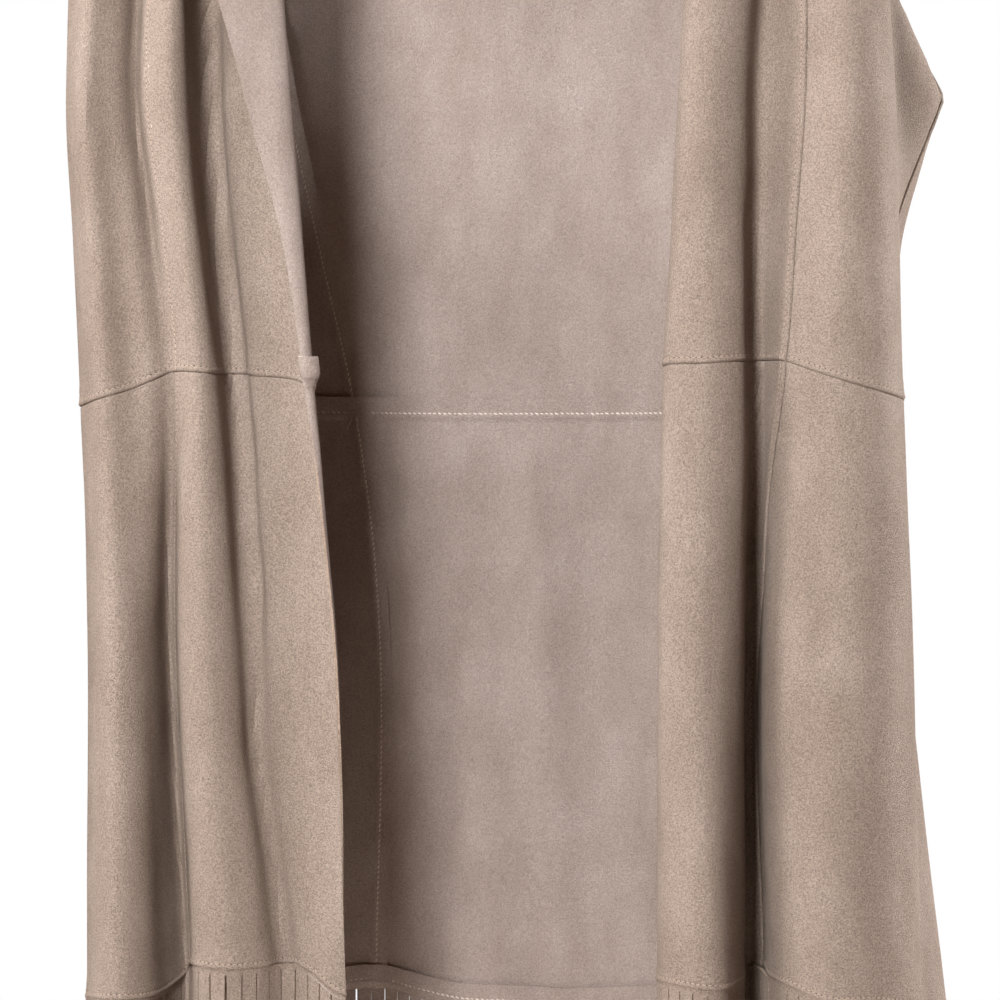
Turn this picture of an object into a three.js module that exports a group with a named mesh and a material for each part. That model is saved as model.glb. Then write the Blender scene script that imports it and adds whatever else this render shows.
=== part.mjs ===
// A long sleeveless suede vest, worn open in front with no wearer inside it, and with a cut
// fringe sewn on at the hem. It is one unlined layer of suede in fourteen panels, which meet
// at a waist seam, at princess seams and at side seams. Seven fringe bands hang below them.
//
// Units are millimetres and +Z is up. The origin is at the neck, level with the neck ends of
// the two shoulder seams. -Y is the front, and the wearer's right side is at -X.
import * as THREE from "three";

// ---- driving sizes ----
const WALL = 1.5; // thickness of the suede
const SEAM_GAP = 0.3; // clear gap between two panels at a seam
const HEM_GAP = 0.9; // drop from the hem edge to a fringe band, which leaves that gap on a slope
const NECK_HALF = 85; // centre to the neck end of a shoulder seam
const SHOULDER_HALF = 215; // centre to the armhole end of a shoulder seam
const SHOULDER_DROP = 40; // fall of the shoulder seam from neck to armhole
const BACK_NECK = { drop: 24, set: 34 }; // centre of the back neck, below and behind the origin
const MID_Z = -543; // a level halfway down the skirt of the vest
const BUST_Z = -222; // underarm level
const YOKE_Z = -100; // a level halfway up the armhole
const YOKE_FRONT_DEPTH = 0.78; // depth of the front at the yoke, as a share of its bust depth
const YOKE_BACK_DEPTH = 0.88;
const YOKE_SPREAD = 0.5; // how far a fold has run towards its shoulder place at the yoke
const FRINGE_LENGTH = 150; // hem seam to the strand ends
const FRINGE_ROOT = 4; // uncut strip of the fringe band under the hem seam
const STRAND_PITCH = 9;
const STRAND_SLIT = 1.3; // clear slit between two strands at the root
const STRAND_TAPER = 0.8; // width at the strand end as a share of its width at the root
const STRAND_SWAY = 0.7; // how far a strand end hangs out of the plane of its band
const STRAND_STEPS = 2;

// Steps across each gap between two folds, and up each gap between two levels.
const STEPS_ACROSS = 2;
const STEPS_UP = { hem: 3, mid: 3, waist: 2, ribs: 2, bust: 3, yoke: 3 };

// Levels from the hem seam to the shoulder seam. The surface is numbered by them in height.
const LEVEL = { hem: 0, mid: 1, waist: 2, ribs: 3, bust: 4, yoke: 5, shoulder: 6 };
const LEVEL_NAMES = Object.keys(LEVEL);

// ---- folds ----
// Each row is one fold line that runs from the hem seam to the shoulder, and each pair or
// three of columns is its place at one level. `shoulder` is where it lands on the shoulder
// seam, from 0 at the neck to 1 at the armhole.
const COLUMNS = [
  "hemX", "hemY", "hemZ", "midX", "midY", "waistX", "waistY", "waistZ", "bustX", "bustY", "shoulder",
];

// The right front, from its turned-out front edge round to the side seam.
const RIGHT_FRONT = {
  //             hem                mid          waist               bust          shoulder
  rawEdge:     [ -79,  -94, -738,   -84, -101,   -101, -102, -395,   -136, -116,   0.00],
  lipFront:    [ -83,  -96, -736,   -83,  -96,    -98, -104, -396,   -112, -108,   0.06],
  lipBack:     [ -88,  -95, -733,   -87,  -92,    -97,  -94, -395,   -111,  -95,   0.115],
  flat:        [ -96,  -92, -726,  -101,  -90,   -111,  -87, -390,   -125,  -88,   0.18],
  slope:       [-106,  -86, -722,  -122,  -87,   -134,  -84, -388,   -146,  -82,   0.30],
  innerValley: [-116,  -83, -722,  -137,  -80,   -148,  -72, -386,   -164,  -65,   0.45],
  crestInner:  [-128,  -98, -722,  -143,  -96,   -151,  -96, -387,   -166,  -97,   0.56],
  crest:       [-145, -108, -722,  -156, -109,   -160, -109, -387,   -175, -111,   0.66],
  crestOuter:  [-162, -100, -721,  -171, -101,   -170, -103, -386,   -185, -106,   0.71],
  princess:    [-171,  -66, -725,  -179,  -74,   -175,  -98, -386,   -192, -101,   0.75],
  valley:      [-178,  -47, -732,  -185,  -65,   -181,  -96, -387,   -201,  -85,   0.79],
  rollInner:   [-186,  -68, -739,  -190,  -91,   -187, -103, -391,   -207, -101,   0.83],
  rollDip:     [-192,  -99, -740,  -197, -106,   -199, -104, -396,   -215, -106,   0.87],
  roll:        [-207, -112, -739,  -209, -114,   -213, -113, -401,   -224, -113,   0.90],
  silhouette:  [-227,  -87, -742,  -227,  -86,   -231,  -87, -405,   -240,  -86,   0.93],
  turn:        [-235,  -48, -750,  -234,  -48,   -236,  -50, -404,   -243,  -50,   0.96],
  side:        [-243,    2, -762,  -241,    3,   -240,    4, -403,   -248,    6,   1.00],
};

// The back, from the right side seam round to the left one.
const BACK = {
  //             hem                mid          waist               bust          shoulder
  side:        [-243,    2, -762,  -241,    3,   -240,    4, -403,   -248,    6,   1.00],
  sideBack:    [-245,   26, -767,  -243,   27,   -241,   28, -403,   -245,   30,   0.93],
  turnBack:    [-226,   50, -771,  -229,   47,   -229,   46, -404,   -234,   48,   0.86],
  blade:       [-166,   64, -772,  -168,   60,   -172,   60, -406,   -190,   60,   0.81],
  princess:    [ -85,   64, -755,   -82,   59,    -97,   62, -408,   -138,   62,   0.75],
  neckEnd:     [ -60,   78, -763,   -60,   79,    -68,   80, -408,    -99,   80,   0.00],
  neckRight:   [ -35,   87, -770,   -34,   89,    -38,   89, -408,    -55,   90,   0.00],
  centre:      [   0,   88, -772,    -2,   90,     -5,   92, -408,     -5,   95,   0.00],
  neckLeft:    [  33,   94, -774,    31,   94,     29,   94, -408,     43,   97,   0.00],
  neckEndLeft: [  65,   90, -772,    63,   91,     65,   91, -408,     88,   94,   0.00],
  princessLeft:[  99,   81, -769,    97,   76,    110,   79, -408,    133,   82,   0.72],
  bladeLeft:   [ 177,   84, -773,   171,   79,    177,   80, -406,    195,   82,   0.81],
  turnBackLeft:[ 241,   70, -773,   227,   66,    224,   63, -404,    236,   62,   0.86],
  sideBackLeft:[ 264,   36, -768,   239,   36,    233,   37, -403,    252,   39,   0.93],
  sideLeft:    [ 243,  -20, -752,   237,   10,    235,   12, -401,    260,   17,   1.00],
};

// The left front, from the side seam round to its tucked-in front edge.
const LEFT_FRONT = {
  //             hem                mid          waist               bust          shoulder
  side:        [ 243,  -20, -752,   237,   10,    235,   12, -401,    260,   17,   1.00],
  turn:        [ 245,  -38, -748,   240,  -14,    232,  -17, -401,    230,  -19,   0.93],
  silhouette:  [ 236,  -56, -745,   238,  -44,    234,  -47, -401,    229,  -47,   0.87],
  roll:        [ 216,  -72, -741,   220,  -71,    223,  -69, -398,    219,  -69,   0.83],
  sideCrest:   [ 191,  -79, -740,   193,  -78,    201,  -78, -392,    202,  -78,   0.79],
  sideInner:   [ 170,  -66, -733,   169,  -71,    181,  -75, -385,    189,  -73,   0.765],
  sideEdge:    [ 158,  -37, -732,   154,  -41,    173,  -71, -382,    184,  -70,   0.74],
  princess:    [ 152,   -4, -732,   150,  -18,    168,  -69, -380,    179,  -68,   0.72],
  valley:      [ 144,    6, -733,   145,  -13,    152,  -45, -379,    153,  -48,   0.66],
  crestOuter:  [ 143,  -32, -734,   143,  -57,    143,  -73, -380,    143,  -72,   0.56],
  crest:       [ 127,  -84, -734,   121,  -85,    122,  -85, -382,    127,  -84,   0.38],
  lipFront:    [ 101,  -69, -732,   100,  -79,    103,  -79, -382,    113,  -81,   0.18],
  lipBack:     [  95,  -44, -734,    96,  -65,     99,  -67, -383,    108,  -69,   0.09],
  rawEdge:     [  99,  -20, -738,    99,  -48,    103,  -52, -382,    111,  -55,   0.00],
};

// Places that a fold doesn't reach by running evenly between its other levels.
const RIBS_PLACES = {
  lapelEdge: [-114, -108],
  rightSide: [-232, 4],
  rightSideBack: [-238, 27],
  leftSide: [229, 14],
  leftSideBack: [236, 37],
};
const YOKE_PLACES = {
  lapelEdge: [-158, -122],
  lapelFront: [-116, -98],
  lapelBack: [-116, -85],
  lapelFlat: [-128, -80],
  tuckedEdge: [118, -44],
  tuckedBack: [112, -58],
  tuckedFront: [118, -70],
  rightSilhouette: [-233, -72],
  rightTurn: [-230, -60],
  rightArmholeFront: [-219, -48],
  rightArmholeBack: [-213, 52],
  rightSideBack: [-212, 61],
  rightTurnBack: [-205, 69],
  leftSilhouette: [218, -60],
  leftTurn: [213, -52],
  leftArmholeFront: [205, -40],
  leftArmholeBack: [204, 60],
  leftSideBack: [206, 64],
  leftTurnBack: [200, 71],
};
// The back neck falls below the shoulder seams between their two neck ends.
const NECK_PLACES = {
  side: [0.55, 0.75, 0.8], // share of the half neck, of the drop and of the set
  centre: [0, 1, 1],
};

// ---- surface ----
function named(row) {
  return Object.fromEntries(COLUMNS.map((column, index) => [column, row[index]]));
}

function shoulderPlace(share, side) {
  const x = NECK_HALF + (SHOULDER_HALF - NECK_HALF) * share;
  return new THREE.Vector3(side * x, 0, -SHOULDER_DROP * share);
}

function neckPlace([across, drop, set], side) {
  return new THREE.Vector3(side * across * NECK_HALF, set * BACK_NECK.set, -drop * BACK_NECK.drop);
}

// One fold line as a function of height. `depth` is the share of the bust depth kept at the
// yoke. A cornered line turns sharply at the underarm. A line that lands on the shoulder
// seam rolls over it, and one that ends at the neck runs straight out.
function foldLine(row, { side, depth, ribs, yoke, top, straight, cornered }) {
  const at = named(row);
  const end = top ?? shoulderPlace(at.shoulder, side);
  const ribsAt = ribs ?? [(at.waistX + at.bustX) / 2, (at.waistY + at.bustY) / 2];
  const yokeAt = yoke ?? [at.bustX + (end.x - at.bustX) * YOKE_SPREAD, at.bustY * depth];
  const places = [
    new THREE.Vector3(at.hemX, at.hemY, at.hemZ),
    new THREE.Vector3(at.midX, at.midY, MID_Z),
    new THREE.Vector3(at.waistX, at.waistY, at.waistZ),
    new THREE.Vector3(ribsAt[0], ribsAt[1], (at.waistZ + BUST_Z) / 2),
    new THREE.Vector3(at.bustX, at.bustY, BUST_Z),
    new THREE.Vector3(yokeAt[0], yokeAt[1], YOKE_Z),
    end,
  ];
  if (!straight) {
    places.push(new THREE.Vector3(yokeAt[0], -yokeAt[1], YOKE_Z));
  }
  const parts = cornered
    ? [places.slice(0, LEVEL.bust + 1), places.slice(LEVEL.bust)]
    : [places];
  const curves = parts.map((part) => new THREE.CatmullRomCurve3(part, false, "centripetal"));
  return (height) => {
    const upper = cornered && height > LEVEL.bust;
    const curve = upper ? curves[1] : curves[0];
    const start = upper ? LEVEL.bust : 0;
    return curve.getPoint((height - start) / (curve.points.length - 1));
  };
}

const NECK_ENDS = ["neckEnd", "neckEndLeft"];

// A cloth is a run of fold lines with a neighbour beyond a side seam, so that the surface
// goes smoothly round the seam under the arm.
function makeCloth(table, side, depth, special) {
  const names = Object.keys(table);
  const lines = names.map((name, index) => {
    const half = typeof side === "function" ? side(index) : side;
    return foldLine(table[name], { side: half, depth, ...special[name] });
  });
  const corners = NECK_ENDS.map((name) => names.indexOf(name)).filter((found) => found > 0);
  return { names, lines, corners };
}

const rightFront = makeCloth(RIGHT_FRONT, -1, YOKE_FRONT_DEPTH, {
  rawEdge: { ribs: RIBS_PLACES.lapelEdge, yoke: YOKE_PLACES.lapelEdge },
  lipFront: { yoke: YOKE_PLACES.lapelFront },
  lipBack: { yoke: YOKE_PLACES.lapelBack },
  flat: { yoke: YOKE_PLACES.lapelFlat },
  silhouette: { yoke: YOKE_PLACES.rightSilhouette },
  turn: { yoke: YOKE_PLACES.rightTurn },
  side: { ribs: RIBS_PLACES.rightSide, yoke: YOKE_PLACES.rightArmholeFront, cornered: true },
});
const leftFront = makeCloth(LEFT_FRONT, 1, YOKE_FRONT_DEPTH, {
  side: { ribs: RIBS_PLACES.leftSide, yoke: YOKE_PLACES.leftArmholeFront, cornered: true },
  turn: { yoke: YOKE_PLACES.leftTurn },
  silhouette: { yoke: YOKE_PLACES.leftSilhouette },
  lipFront: { yoke: YOKE_PLACES.tuckedFront },
  lipBack: { yoke: YOKE_PLACES.tuckedBack },
  rawEdge: { yoke: YOKE_PLACES.tuckedEdge },
});
const backMiddle = Object.keys(BACK).indexOf("centre");
const back = makeCloth(BACK, (index) => (index > backMiddle ? 1 : -1), YOKE_BACK_DEPTH, {
  side: { ribs: RIBS_PLACES.rightSide, yoke: YOKE_PLACES.rightArmholeBack, cornered: true },
  sideBack: { ribs: RIBS_PLACES.rightSideBack, yoke: YOKE_PLACES.rightSideBack },
  turnBack: { yoke: YOKE_PLACES.rightTurnBack },
  neckRight: { top: neckPlace(NECK_PLACES.side, -1), straight: true },
  centre: { top: neckPlace(NECK_PLACES.centre, 1), straight: true },
  neckLeft: { top: neckPlace(NECK_PLACES.side, 1), straight: true },
  turnBackLeft: { yoke: YOKE_PLACES.leftTurnBack },
  sideBackLeft: { ribs: RIBS_PLACES.leftSideBack, yoke: YOKE_PLACES.leftSideBack },
  sideLeft: { ribs: RIBS_PLACES.leftSide, yoke: YOKE_PLACES.leftArmholeBack, cornered: true },
});

// The neighbour beyond a side seam: the true one up to the underarm, and above it one that
// keeps its distance from the armhole edge.
function neighbour(edge, beyond) {
  const step = beyond(LEVEL.bust).clone().sub(edge(LEVEL.bust));
  return (height) => (height <= LEVEL.bust ? beyond(height) : edge(height).add(step));
}

const last = (lines) => lines.length - 1;
rightFront.after = neighbour(rightFront.lines[last(rightFront.lines)], back.lines[1]);
back.before = neighbour(back.lines[0], rightFront.lines[last(rightFront.lines) - 1]);
back.after = neighbour(back.lines[last(back.lines)], leftFront.lines[1]);
leftFront.before = neighbour(leftFront.lines[0], back.lines[last(back.lines) - 1]);

// A smooth curve through the places of a run of folds, as a function of the fold number. It
// carries one more point beyond each end, either a neighbour or one straight on.
function curveThrough(places, before, after) {
  const [first, second] = places;
  const [secondLast, final] = places.slice(-2);
  const start = before ?? first.clone().multiplyScalar(2).sub(second);
  const end = after ?? final.clone().multiplyScalar(2).sub(secondLast);
  const curve = new THREE.CatmullRomCurve3([start, ...places, end], false, "centripetal");
  return (fold) => curve.getPoint((fold + 1) / (curve.points.length - 1));
}

// The plan curve of a cloth at one height. Above the yoke it gains a corner at each neck end,
// where the shoulder seam stops and the neck edge starts.
function planCurve(cloth, height) {
  const places = cloth.lines.map((line) => line(height));
  const smooth = curveThrough(places, cloth.before?.(height), cloth.after?.(height));
  const sharpness = Math.max(0, height - LEVEL.yoke);
  if (cloth.corners.length === 0 || sharpness === 0) {
    return smooth;
  }
  const ends = [0, ...cloth.corners, places.length - 1];
  const parts = ends.slice(1).map((end, index) => curveThrough(places.slice(ends[index], end + 1)));
  return (fold) => {
    const found = ends.slice(1).findIndex((end) => fold <= end);
    const part = found < 0 ? parts.length - 1 : found;
    return smooth(fold).lerp(parts[part](fold - ends[part]), sharpness);
  };
}

// The middle surface of a cloth at a list of folds and one height, with outward normals.
const NUDGE = 1e-3;

function surfaceRow(cloth, folds, height) {
  const curve = planCurve(cloth, height);
  const below = planCurve(cloth, Math.max(height - NUDGE, LEVEL.hem));
  const above = planCurve(cloth, Math.min(height + NUDGE, LEVEL.shoulder));
  return folds.map((fold) => {
    const along = curve(fold + NUDGE).sub(curve(fold - NUDGE));
    const up = above(fold).sub(below(fold));
    return { place: curve(fold), normal: up.cross(along).normalize(), along: along.normalize() };
  });
}

function steps(from, to, count) {
  return Array.from({ length: count + 1 }, (_, index) => from + ((to - from) * index) / count);
}

// A step of half a seam gap from one place towards another, or none where they are the same.
function seamStep(place, towards) {
  const step = towards.clone().sub(place);
  return step.lengthSq() > 0 ? step.setLength(SEAM_GAP / 2) : step;
}

// ---- solids ----
function solid(positions, triangles, { name, colour, roughness }) {
  const geometry = new THREE.BufferGeometry();
  const numbers = positions.flatMap((position) => position.toArray());
  geometry.setAttribute("position", new THREE.Float32BufferAttribute(numbers, 3));
  geometry.setIndex(triangles.flat());
  geometry.computeVertexNormals();
  const material = new THREE.MeshStandardMaterial({ color: colour, roughness, metalness: 0 });
  const mesh = new THREE.Mesh(geometry, material);
  mesh.name = name;
  return mesh;
}

const SUEDE = { colour: "#a08c7c", roughness: 0.95 };
const FRINGE_SUEDE = { colour: "#9a8676", roughness: 0.95 };

function quad(a, b, c, d) {
  return [[a, b, c], [a, c, d]];
}

// A panel wall between two folds and two levels: an outer and an inner skin half a wall to
// each side of the middle surface, closed round the four edges.
function makePanel({ name, cloth, from, to, low, high }) {
  const first = cloth.names.indexOf(from);
  const final = cloth.names.indexOf(to);
  const folds = steps(first, final, STEPS_ACROSS * (final - first));
  const heights = [LEVEL[low]];
  for (let level = LEVEL[low]; level < LEVEL[high]; level += 1) {
    heights.push(...steps(level, level + 1, STEPS_UP[LEVEL_NAMES[level]]).slice(1));
  }
  const grid = heights.map((height) => surfaceRow(cloth, folds, height));
  const rows = grid.length;
  const columns = folds.length;
  const inside = (index, count) => Math.min(Math.max(index, 1), count - 2);
  const places = grid.map((row, r) => row.map(({ place }, c) => {
    const across = seamStep(place, row[inside(c, columns)].place);
    const upward = seamStep(place, grid[inside(r, rows)][c].place);
    return place.clone().add(across).add(upward);
  }));
  const positions = [];
  for (const offset of [WALL / 2, -WALL / 2]) {
    grid.forEach((row, r) => row.forEach(({ normal }, c) => {
      positions.push(places[r][c].clone().addScaledVector(normal, offset));
    }));
  }
  const outer = (r, c) => r * columns + c;
  const inner = (r, c) => rows * columns + r * columns + c;
  const triangles = [];
  for (let r = 0; r < rows - 1; r += 1) {
    for (let c = 0; c < columns - 1; c += 1) {
      triangles.push(...quad(outer(r, c), outer(r + 1, c), outer(r + 1, c + 1), outer(r, c + 1)));
      triangles.push(...quad(inner(r, c), inner(r, c + 1), inner(r + 1, c + 1), inner(r + 1, c)));
    }
    triangles.push(...quad(outer(r, 0), inner(r, 0), inner(r + 1, 0), outer(r + 1, 0)));
    const end = columns - 1;
    triangles.push(...quad(outer(r, end), outer(r + 1, end), inner(r + 1, end), inner(r, end)));
  }
  for (let c = 0; c < columns - 1; c += 1) {
    triangles.push(...quad(outer(0, c), outer(0, c + 1), inner(0, c + 1), inner(0, c)));
    const top = rows - 1;
    triangles.push(...quad(outer(top, c), inner(top, c), inner(top, c + 1), outer(top, c + 1)));
  }
  return solid(positions, triangles, { name, ...SUEDE });
}

// Fold numbers at even distances along the hem seam, from a finely measured plan curve.
const MEASURE_STEPS = 24;

function hemRuler(cloth, from, to) {
  const curve = planCurve(cloth, LEVEL.hem);
  const folds = steps(from, to, (to - from) * MEASURE_STEPS);
  const lengths = [0];
  for (let index = 1; index < folds.length; index += 1) {
    const step = curve(folds[index]).distanceTo(curve(folds[index - 1]));
    lengths.push(lengths[index - 1] + step);
  }
  const foldAt = (length) => {
    const index = Math.max(1, lengths.findIndex((value) => value >= length));
    const share = (length - lengths[index - 1]) / (lengths[index] - lengths[index - 1]);
    return folds[index - 1] + (folds[index] - folds[index - 1]) * share;
  };
  return { total: lengths[lengths.length - 1], foldAt };
}

// A fringe band is a comb cut from one strip: an uncut root along the hem seam and flat
// strands below it, which follow the folds of the hem.
function makeFringe({ name, cloth, from, to }) {
  const ruler = hemRuler(cloth, cloth.names.indexOf(from), cloth.names.indexOf(to));
  const count = Math.round(ruler.total / STRAND_PITCH);
  const pitch = ruler.total / count;
  const lengths = [];
  for (let strand = 0; strand < count; strand += 1) {
    lengths.push(strand * pitch + STRAND_SLIT / 2, (strand + 1) * pitch - STRAND_SLIT / 2);
  }
  const strandFolds = lengths.map((length) => ruler.foldAt(length));
  const hem = surfaceRow(cloth, strandFolds, LEVEL.hem);
  const curve = planCurve(cloth, LEVEL.hem);
  hem.forEach((at, index) => {
    // The panel above runs straight between its columns, so the band keeps to that height.
    const column = strandFolds[index] * STEPS_ACROSS;
    const low = curve(Math.floor(column) / STEPS_ACROSS).z;
    const high = curve(Math.ceil(column) / STEPS_ACROSS).z;
    at.place.z = low + (high - low) * (column - Math.floor(column));
  });
  const down = new THREE.Vector3(0, 0, -1);
  const positions = [];
  const triangles = [];
  const ring = (place, normal) => {
    positions.push(place.clone().addScaledVector(normal, WALL / 2));
    positions.push(place.clone().addScaledVector(normal, -WALL / 2));
    return positions.length - 2;
  };
  const flatNormal = ({ along }) => new THREE.Vector3(-along.y, along.x, 0).normalize();
  const tops = hem.map((at) => ring(at.place.clone().addScaledVector(down, HEM_GAP), at.normal));
  const roots = hem.map((at) => ring(at.place.clone().addScaledVector(down, FRINGE_ROOT), flatNormal(at)));
  for (let index = 0; index < hem.length - 1; index += 1) {
    const [a, b, c, d] = [tops[index], tops[index + 1], roots[index + 1], roots[index]];
    triangles.push(...quad(a, b, c, d));
    triangles.push(...quad(a + 1, d + 1, c + 1, b + 1));
    triangles.push(...quad(a, a + 1, b + 1, b));
    if (index % 2 === 1) {
      triangles.push(...quad(d, c, c + 1, d + 1));
    }
  }
  const end = hem.length - 1;
  triangles.push(...quad(tops[0], roots[0], roots[0] + 1, tops[0] + 1));
  triangles.push(...quad(tops[end], tops[end] + 1, roots[end] + 1, roots[end]));
  for (let strand = 0; strand < count; strand += 1) {
    const left = hem[strand * 2];
    const right = hem[strand * 2 + 1];
    const middle = left.place.clone().add(right.place).multiplyScalar(0.5);
    const normal = flatNormal(left).add(flatNormal(right)).normalize();
    const sway = STRAND_SWAY * Math.sin(strand * 1.7);
    let [a, b] = [roots[strand * 2], roots[strand * 2 + 1]];
    for (let step = 1; step <= STRAND_STEPS; step += 1) {
      const share = step / STRAND_STEPS;
      const width = 1 + (STRAND_TAPER - 1) * share;
      const fall = FRINGE_ROOT + (FRINGE_LENGTH - FRINGE_ROOT) * share;
      const [c, d] = [right, left].map((at) => {
        const place = middle.clone().lerp(at.place, width);
        place.addScaledVector(down, fall).addScaledVector(normal, sway * share * share);
        return ring(place, normal);
      });
      triangles.push(...quad(a, b, c, d));
      triangles.push(...quad(a + 1, d + 1, c + 1, b + 1));
      triangles.push(...quad(a, d, d + 1, a + 1));
      triangles.push(...quad(b, b + 1, c + 1, c));
      [a, b] = [d, c];
    }
    triangles.push(...quad(a, b, b + 1, a + 1));
  }
  return solid(positions, triangles, { name, ...FRINGE_SUEDE });
}

// ---- pieces ----
const lower = { low: "hem", high: "waist" };
const upper = { low: "waist", high: "shoulder" };
const CUTS = [
  { piece: "front_centre", wearer: "right", cloth: rightFront, from: "rawEdge", to: "princess" },
  { piece: "front_side", wearer: "right", cloth: rightFront, from: "princess", to: "side" },
  { piece: "back_side", wearer: "right", cloth: back, from: "side", to: "princess" },
  { piece: "back_centre", wearer: null, cloth: back, from: "princess", to: "princessLeft" },
  { piece: "back_side", wearer: "left", cloth: back, from: "princessLeft", to: "sideLeft" },
  { piece: "front_side", wearer: "left", cloth: leftFront, from: "side", to: "princess" },
  { piece: "front_centre", wearer: "left", cloth: leftFront, from: "princess", to: "rawEdge" },
];

const vest = new THREE.Group();
for (const { piece, wearer, ...cut } of CUTS) {
  const ending = wearer ? `_${wearer}` : "";
  vest.add(makePanel({ name: `${piece}_upper${ending}`, ...cut, ...upper }));
  vest.add(makePanel({ name: `${piece}_lower${ending}`, ...cut, ...lower }));
  vest.add(makeFringe({ name: `fringe_${piece}${ending}`, ...cut }));
}

export default vest;
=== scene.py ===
# %% [markdown]
# # A long fringed suede vest
#
# This lesson dresses a hollow, open vest made of one unlined layer of suede. The real one is
# cut in fourteen panels, sewn at a waist seam, at princess seams and at side seams, with a
# fringe band sewn on under the hem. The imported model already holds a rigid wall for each
# panel. Here each wall is replaced by finer cloth with its folds, seams, stitches and nap.

import bpy
import numpy as np
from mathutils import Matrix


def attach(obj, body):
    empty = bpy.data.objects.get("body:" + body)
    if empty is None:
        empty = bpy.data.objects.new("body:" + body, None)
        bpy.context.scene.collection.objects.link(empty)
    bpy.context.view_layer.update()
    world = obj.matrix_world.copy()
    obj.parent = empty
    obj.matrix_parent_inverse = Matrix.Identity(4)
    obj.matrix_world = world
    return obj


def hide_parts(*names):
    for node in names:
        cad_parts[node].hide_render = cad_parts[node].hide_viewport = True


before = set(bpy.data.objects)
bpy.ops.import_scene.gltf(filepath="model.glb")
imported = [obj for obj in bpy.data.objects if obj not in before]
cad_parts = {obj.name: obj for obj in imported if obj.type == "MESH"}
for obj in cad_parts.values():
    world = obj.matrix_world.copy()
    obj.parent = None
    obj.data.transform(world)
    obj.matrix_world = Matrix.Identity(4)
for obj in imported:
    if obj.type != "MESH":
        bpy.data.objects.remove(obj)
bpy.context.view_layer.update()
MM = 0.001
print("nodes in the frame:", len(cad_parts))

# %% [markdown]
# ## The fold lines
#
# Soft suede hangs in folds, and each fold is a line from the hem seam up to the shoulder.
# The tables give the place of every fold line at four levels, in millimetres. They are the
# same sizes that the rigid walls were made from, so the fine cloth falls in the same place.
# Simulating the cloth would lose these exact folds, so the shape is worked out from them.
# The last column is where a line lands on the shoulder seam, from 0 at the neck to 1 at the
# armhole.

# %% Fold tables
COLUMNS = (
    "hem_x", "hem_y", "hem_z", "mid_x", "mid_y",
    "waist_x", "waist_y", "waist_z", "bust_x", "bust_y", "shoulder",
)
RIGHT_FRONT = {
    "raw_edge":       ( -79,  -94, -738,  -84, -101, -101, -102, -395, -136, -116, 0.00),
    "lip_front":      ( -83,  -96, -736,  -83,  -96,  -98, -104, -396, -112, -108, 0.06),
    "lip_back":       ( -88,  -95, -733,  -87,  -92,  -97,  -94, -395, -111,  -95, 0.115),
    "flat":           ( -96,  -92, -726, -101,  -90, -111,  -87, -390, -125,  -88, 0.18),
    "slope":          (-106,  -86, -722, -122,  -87, -134,  -84, -388, -146,  -82, 0.30),
    "inner_valley":   (-116,  -83, -722, -137,  -80, -148,  -72, -386, -164,  -65, 0.45),
    "crest_inner":    (-128,  -98, -722, -143,  -96, -151,  -96, -387, -166,  -97, 0.56),
    "crest":          (-145, -108, -722, -156, -109, -160, -109, -387, -175, -111, 0.66),
    "crest_outer":    (-162, -100, -721, -171, -101, -170, -103, -386, -185, -106, 0.71),
    "princess":       (-171,  -66, -725, -179,  -74, -175,  -98, -386, -192, -101, 0.75),
    "valley":         (-178,  -47, -732, -185,  -65, -181,  -96, -387, -201,  -85, 0.79),
    "roll_inner":     (-186,  -68, -739, -190,  -91, -187, -103, -391, -207, -101, 0.83),
    "roll_dip":       (-192,  -99, -740, -197, -106, -199, -104, -396, -215, -106, 0.87),
    "roll":           (-207, -112, -739, -209, -114, -213, -113, -401, -224, -113, 0.90),
    "silhouette":     (-227,  -87, -742, -227,  -86, -231,  -87, -405, -240,  -86, 0.93),
    "turn":           (-235,  -48, -750, -234,  -48, -236,  -50, -404, -243,  -50, 0.96),
    "side":           (-243,    2, -762, -241,    3, -240,    4, -403, -248,    6, 1.00),
}
BACK = {
    "side":           (-243,    2, -762, -241,    3, -240,    4, -403, -248,    6, 1.00),
    "side_back":      (-245,   26, -767, -243,   27, -241,   28, -403, -245,   30, 0.93),
    "turn_back":      (-226,   50, -771, -229,   47, -229,   46, -404, -234,   48, 0.86),
    "blade":          (-166,   64, -772, -168,   60, -172,   60, -406, -190,   60, 0.81),
    "princess":       ( -85,   64, -755,  -82,   59,  -97,   62, -408, -138,   62, 0.75),
    "neck_end":       ( -60,   78, -763,  -60,   79,  -68,   80, -408,  -99,   80, 0.00),
    "neck_right":     ( -35,   87, -770,  -34,   89,  -38,   89, -408,  -55,   90, 0.00),
    "centre":         (   0,   88, -772,   -2,   90,   -5,   92, -408,   -5,   95, 0.00),
    "neck_left":      (  33,   94, -774,   31,   94,   29,   94, -408,   43,   97, 0.00),
    "neck_end_left":  (  65,   90, -772,   63,   91,   65,   91, -408,   88,   94, 0.00),
    "princess_left":  (  99,   81, -769,   97,   76,  110,   79, -408,  133,   82, 0.72),
    "blade_left":     ( 177,   84, -773,  171,   79,  177,   80, -406,  195,   82, 0.81),
    "turn_back_left": ( 241,   70, -773,  227,   66,  224,   63, -404,  236,   62, 0.86),
    "side_back_left": ( 264,   36, -768,  239,   36,  233,   37, -403,  252,   39, 0.93),
    "side_left":      ( 243,  -20, -752,  237,   10,  235,   12, -401,  260,   17, 1.00),
}
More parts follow.
